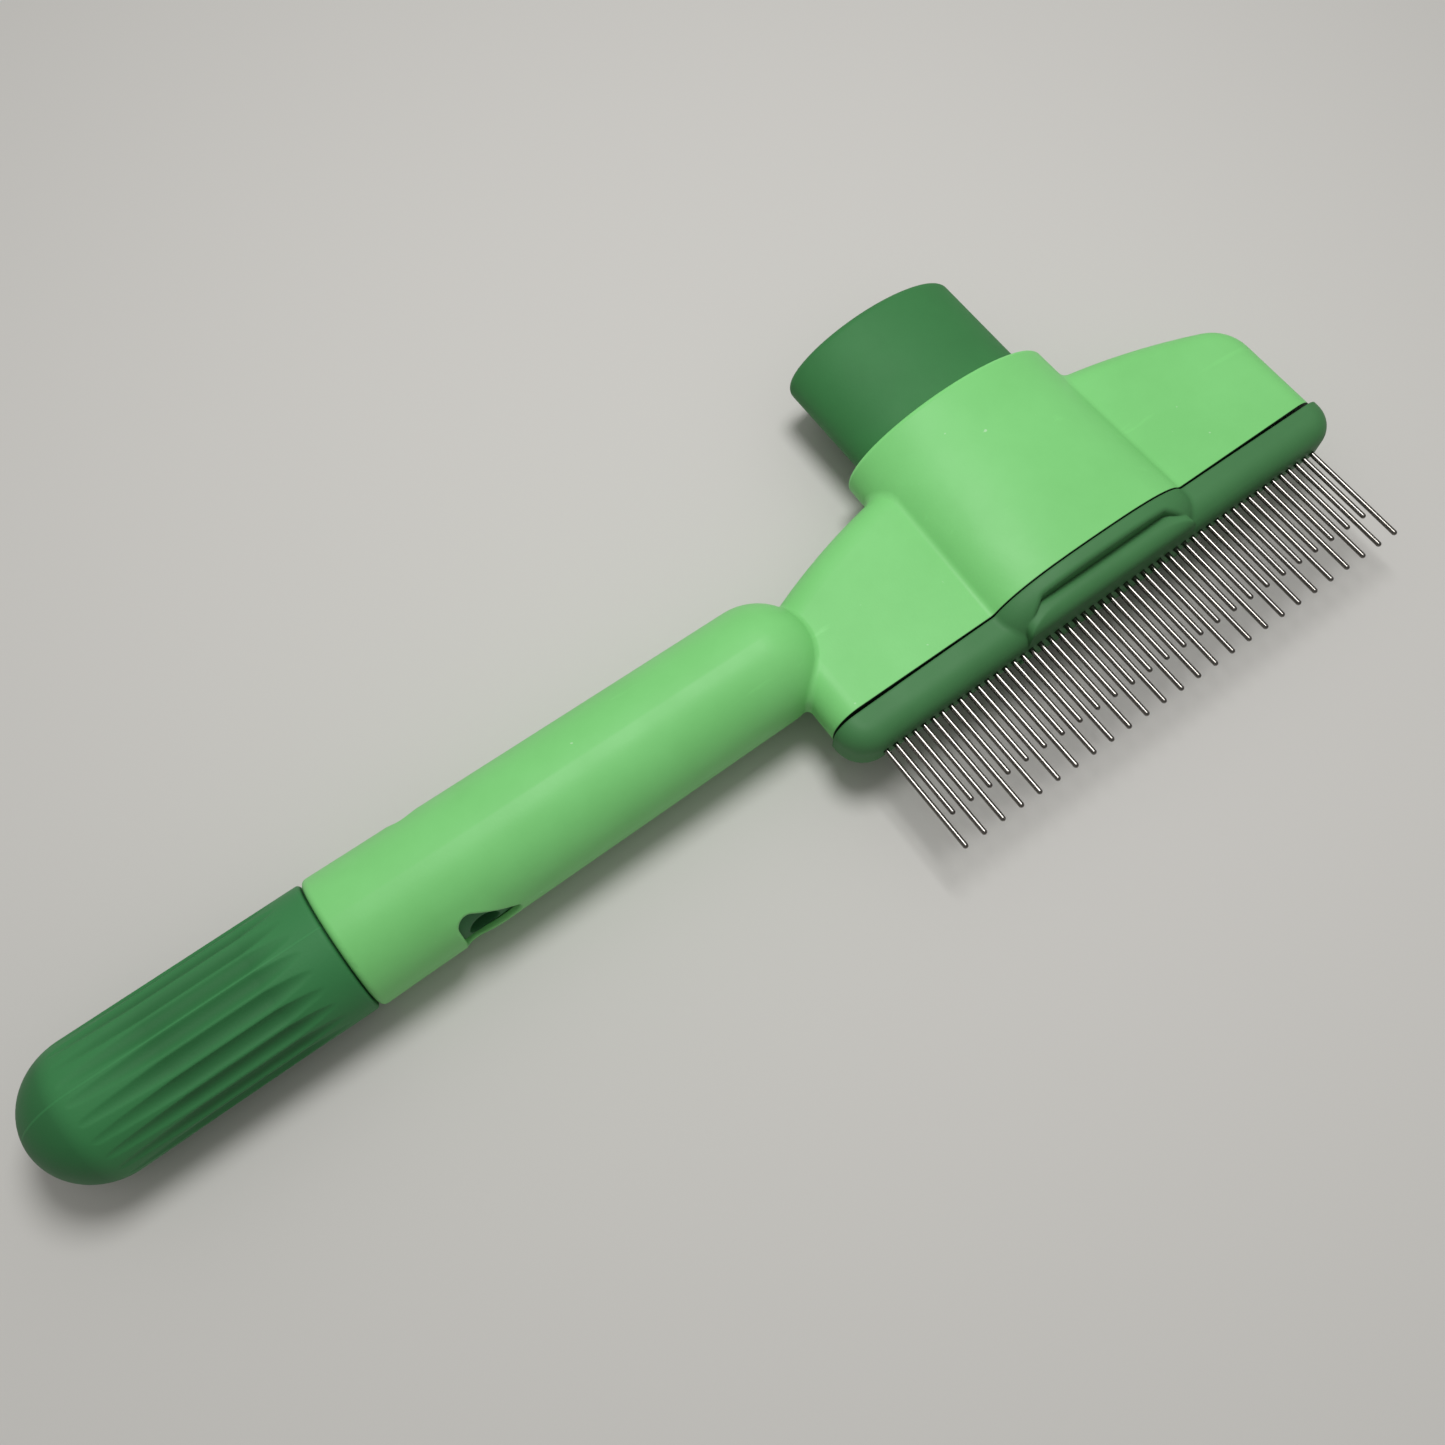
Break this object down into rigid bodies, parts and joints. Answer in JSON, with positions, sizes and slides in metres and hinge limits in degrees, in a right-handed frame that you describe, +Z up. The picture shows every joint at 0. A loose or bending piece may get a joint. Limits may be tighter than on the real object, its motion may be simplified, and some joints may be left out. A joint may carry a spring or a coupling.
{
  "type": "deshedding comb",
  "caption": "Self-clearing pet comb: round handle with a fluted cap, arched head with a row of long and short steel teeth, and a sprung push button that drives a stripper bar down them.",
  "frame": {"origin": "middle of the comb's box, on the surface that it lies on", "axes": "+X along the handle towards the head, +Y the way the button stands up, teeth to -Y, +Z up"},
  "size_m": [0.2006, 0.0723, 0.019],
  "materials": {
    "light_plastic": "satin moulded",
    "dark_plastic": "fine matte moulded",
    "bar_plastic": "satin moulded",
    "black_plastic": "moulded",
    "seal_rubber": "matte",
    "spine_brass": "machined",
    "tooth_steel": "polished",
    "screw_steel": "zinc plated",
    "rod_steel": "ground",
    "spring_steel": "drawn wire"
  },
  "bodies": {
    "handle": {"main_body": "light_plastic", "end_cap": "dark_plastic", "cap_seal_ring": "seal_rubber", "tooth_holder": "black_plastic", "comb_spine": "spine_brass", "long_teeth": "tooth_steel", "short_teeth": "tooth_steel", "holder_screws": "screw_steel", "guide_rod_left": "rod_steel", "guide_rod_right": "rod_steel", "spring_washer_left": "rod_steel", "spring_washer_right": "rod_steel", "return_spring_left": "spring_steel", "return_spring_right": "spring_steel"},
    "carriage": {"push_button": "dark_plastic", "stripper_bar": "bar_plastic", "guide_bush_left": "spine_brass", "guide_bush_right": "spine_brass"}
  },
  "joints": [
    {"name": "button_press", "type": "slide", "parent": "handle", "child": "carriage", "axis": [0, -1, 0], "range_m": [0, 0.012], "stiffness_N_per_m": 400, "springref_m": -0.006, "deforming": ["return_spring_left", "return_spring_right"]}
  ]
}
